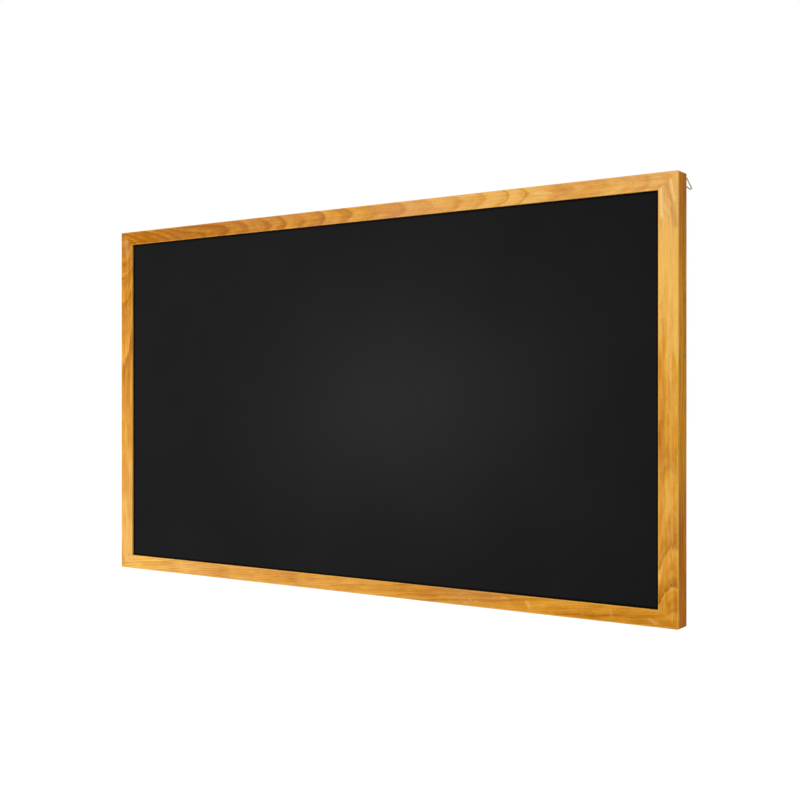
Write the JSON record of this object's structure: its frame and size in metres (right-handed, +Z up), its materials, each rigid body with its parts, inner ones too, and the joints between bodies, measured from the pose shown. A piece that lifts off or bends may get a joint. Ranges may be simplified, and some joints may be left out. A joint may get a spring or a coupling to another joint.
{
  "type": "wall chalkboard",
  "caption": "Framed wall chalkboard: a mitred oak frame round a matte black writing panel, with wire hanging rings on straps behind.",
  "frame": {"origin": "middle of the oak frame's back, where the board faces the wall", "axes": "+X right as seen from the front, +Y back towards the wall, +Z up"},
  "size_m": [1.0668, 0.0618, 0.6096],
  "materials": {
    "oak": "honey stained oak under satin lacquer",
    "chalk_surface": "matte black chalk coating",
    "core_board": "bare fibreboard",
    "backing_sheet": "dull grey primer on thin sheet",
    "fastener_steel": "bright zinc plated steel",
    "hanger_metal": "antique brass plating, satin",
    "screw_metal": "brass plated steel",
    "bumper_rubber": "soft matte rubber"
  },
  "bodies": {
    "board": {"top_rail": "oak", "bottom_rail": "oak", "left_stile": "oak", "right_stile": "oak", "writing_sheet": "chalk_surface", "core_board": "core_board", "backing_sheet": "backing_sheet", "top_left_corner_nails": "fastener_steel", "top_right_corner_nails": "fastener_steel", "bottom_left_corner_nails": "fastener_steel", "bottom_right_corner_nails": "fastener_steel", "top_panel_points": "fastener_steel", "bottom_panel_points": "fastener_steel", "left_panel_points": "fastener_steel", "right_panel_points": "fastener_steel", "left_hanger_strap": "hanger_metal", "right_hanger_strap": "hanger_metal", "left_hanger_screw": "screw_metal", "right_hanger_screw": "screw_metal", "left_bumper": "bumper_rubber", "right_bumper": "bumper_rubber"},
    "left_ring": {"left_hanger_ring": "hanger_metal"},
    "right_ring": {"right_hanger_ring": "hanger_metal"}
  },
  "joints": [
    {"name": "left_ring_swing", "type": "hinge", "parent": "board", "child": "left_ring", "pos_m": [-0.5265, 0.00188, 0.2989], "axis": [1, 0, 0], "range_deg": [-58, 108]},
    {"name": "right_ring_swing", "type": "hinge", "parent": "board", "child": "right_ring", "pos_m": [0.5265, 0.00188, 0.2989], "axis": [1, 0, 0], "range_deg": [-58, 108]}
  ]
}
